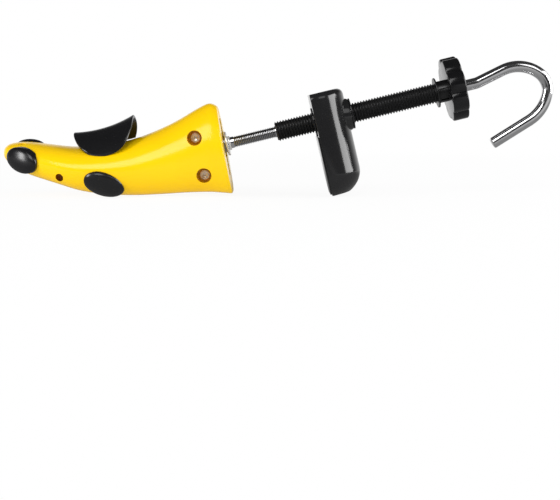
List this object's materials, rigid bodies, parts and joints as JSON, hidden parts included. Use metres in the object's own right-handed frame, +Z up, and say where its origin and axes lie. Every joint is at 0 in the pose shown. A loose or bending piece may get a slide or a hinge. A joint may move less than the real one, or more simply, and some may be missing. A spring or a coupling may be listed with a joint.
{
  "type": "shoe stretcher",
  "caption": "Two-way stretcher for a heeled shoe: a split yellow last that a hooked screw rod widens, and a black heel block that a threaded tube and knob drive back.",
  "frame": {"origin": "middle of the footprint, on the floor that the last and the heel block stand on", "axes": "+X from the toe of the last to the hook, +Y across, from the near half of the last to the far half, +Z up"},
  "size_m": [0.3843, 0.0633, 0.0967],
  "materials": {
    "last_yellow": "moulded yellow plastic, soft gloss",
    "black_plastic": "moulded black plastic, satin gloss",
    "knob_black": "moulded black plastic, gloss",
    "heel_black": "moulded black plastic, gloss",
    "plug_black": "moulded black plastic, gloss",
    "rod_chrome": "bright plated steel",
    "bright_steel": "bright steel",
    "zinc_steel": "zinc plated steel"
  },
  "bodies": {
    "carrier": {"trunnion_block": "zinc_steel", "upper_hinge_pin": "bright_steel", "lower_hinge_pin": "bright_steel", "rod_washer": "bright_steel"},
    "near_last": {"near_half": "last_yellow", "near_hinge_leaf": "zinc_steel", "near_screws": "bright_steel", "near_spring_pin": "zinc_steel", "return_spring": "bright_steel"},
    "far_last": {"far_half": "last_yellow", "far_hinge_leaf": "zinc_steel", "far_screws": "bright_steel", "far_spring_pin": "zinc_steel"},
    "wedge": {"spreader": "zinc_steel"},
    "rod": {"hook_rod": "rod_chrome", "thrust_ring": "zinc_steel", "rod_collar": "bright_steel", "rod_end_nut": "zinc_steel", "tube_snap_rings": "zinc_steel"},
    "tube": {"thread_tube": "black_plastic", "tube_stop_ring": "black_plastic", "knob": "knob_black"},
    "heel": {"heel_block": "heel_black", "heel_nut": "heel_black", "heel_cover": "heel_black"},
    "toe_plug": {"near_toe_plug": "plug_black"},
    "ball_plug": {"near_ball_plug": "plug_black"},
    "top_plug": {"far_toe_plug": "plug_black"},
    "pad": {"instep_pad": "plug_black"}
  },
  "joints": [
    {"name": "rod_turn", "type": "hinge", "parent": "carrier", "child": "rod", "pos_m": [-0.03787, 0, 0.0354], "axis": [0.972, 0, 0.2351], "range_deg": [0, 3600]},
    {"name": "spreader_slide", "type": "slide", "parent": "carrier", "child": "wedge", "axis": [-0.972, 0, -0.2351], "range_m": [0, 0.0125]},
    {"name": "near_open", "type": "hinge", "parent": "carrier", "child": "near_last", "pos_m": [-0.04565, 0, 0.03352], "axis": [-0.2351, 0, 0.972], "range_deg": [0, 6], "deforming": ["return_spring"]},
    {"name": "far_open", "type": "hinge", "parent": "carrier", "child": "far_last", "pos_m": [-0.04565, 0, 0.03352], "axis": [-0.2351, 0, 0.972], "range_deg": [-6, 0]},
    {"name": "tube_turn", "type": "hinge", "parent": "carrier", "child": "tube", "pos_m": [-0.03787, 0, 0.0354], "axis": [0.972, 0, 0.2351], "range_deg": [-10080, 4320]},
    {"name": "heel_slide", "type": "slide", "parent": "carrier", "child": "heel", "axis": [0.972, 0, 0.2351], "range_m": [-0.024, 0.056]},
    {"name": "toe_plug_pull", "type": "slide", "parent": "near_last", "child": "toe_plug", "axis": [0, -1, 0], "range_m": [0, 0.014]},
    {"name": "ball_plug_pull", "type": "slide", "parent": "near_last", "child": "ball_plug", "axis": [0, -1, 0], "range_m": [0, 0.014]},
    {"name": "top_plug_pull", "type": "slide", "parent": "far_last", "child": "top_plug", "axis": [0, 0, 1], "range_m": [0, 0.014]},
    {"name": "pad_pull", "type": "slide", "parent": "near_last", "child": "pad", "axis": [-0.2811, -0.2079, 0.9369], "range_m": [0, 0.026]}
  ],
  "couplings": [
    {"joint": "spreader_slide", "follows": "rod_turn", "m_per_rad": 0.00019894},
    {"joint": "near_open", "follows": "rod_turn", "ratio": 0.0016667},
    {"joint": "far_open", "follows": "rod_turn", "ratio": -0.0016667},
    {"joint": "heel_slide", "follows": "tube_turn", "m_per_rad": -0.00031831}
  ]
}
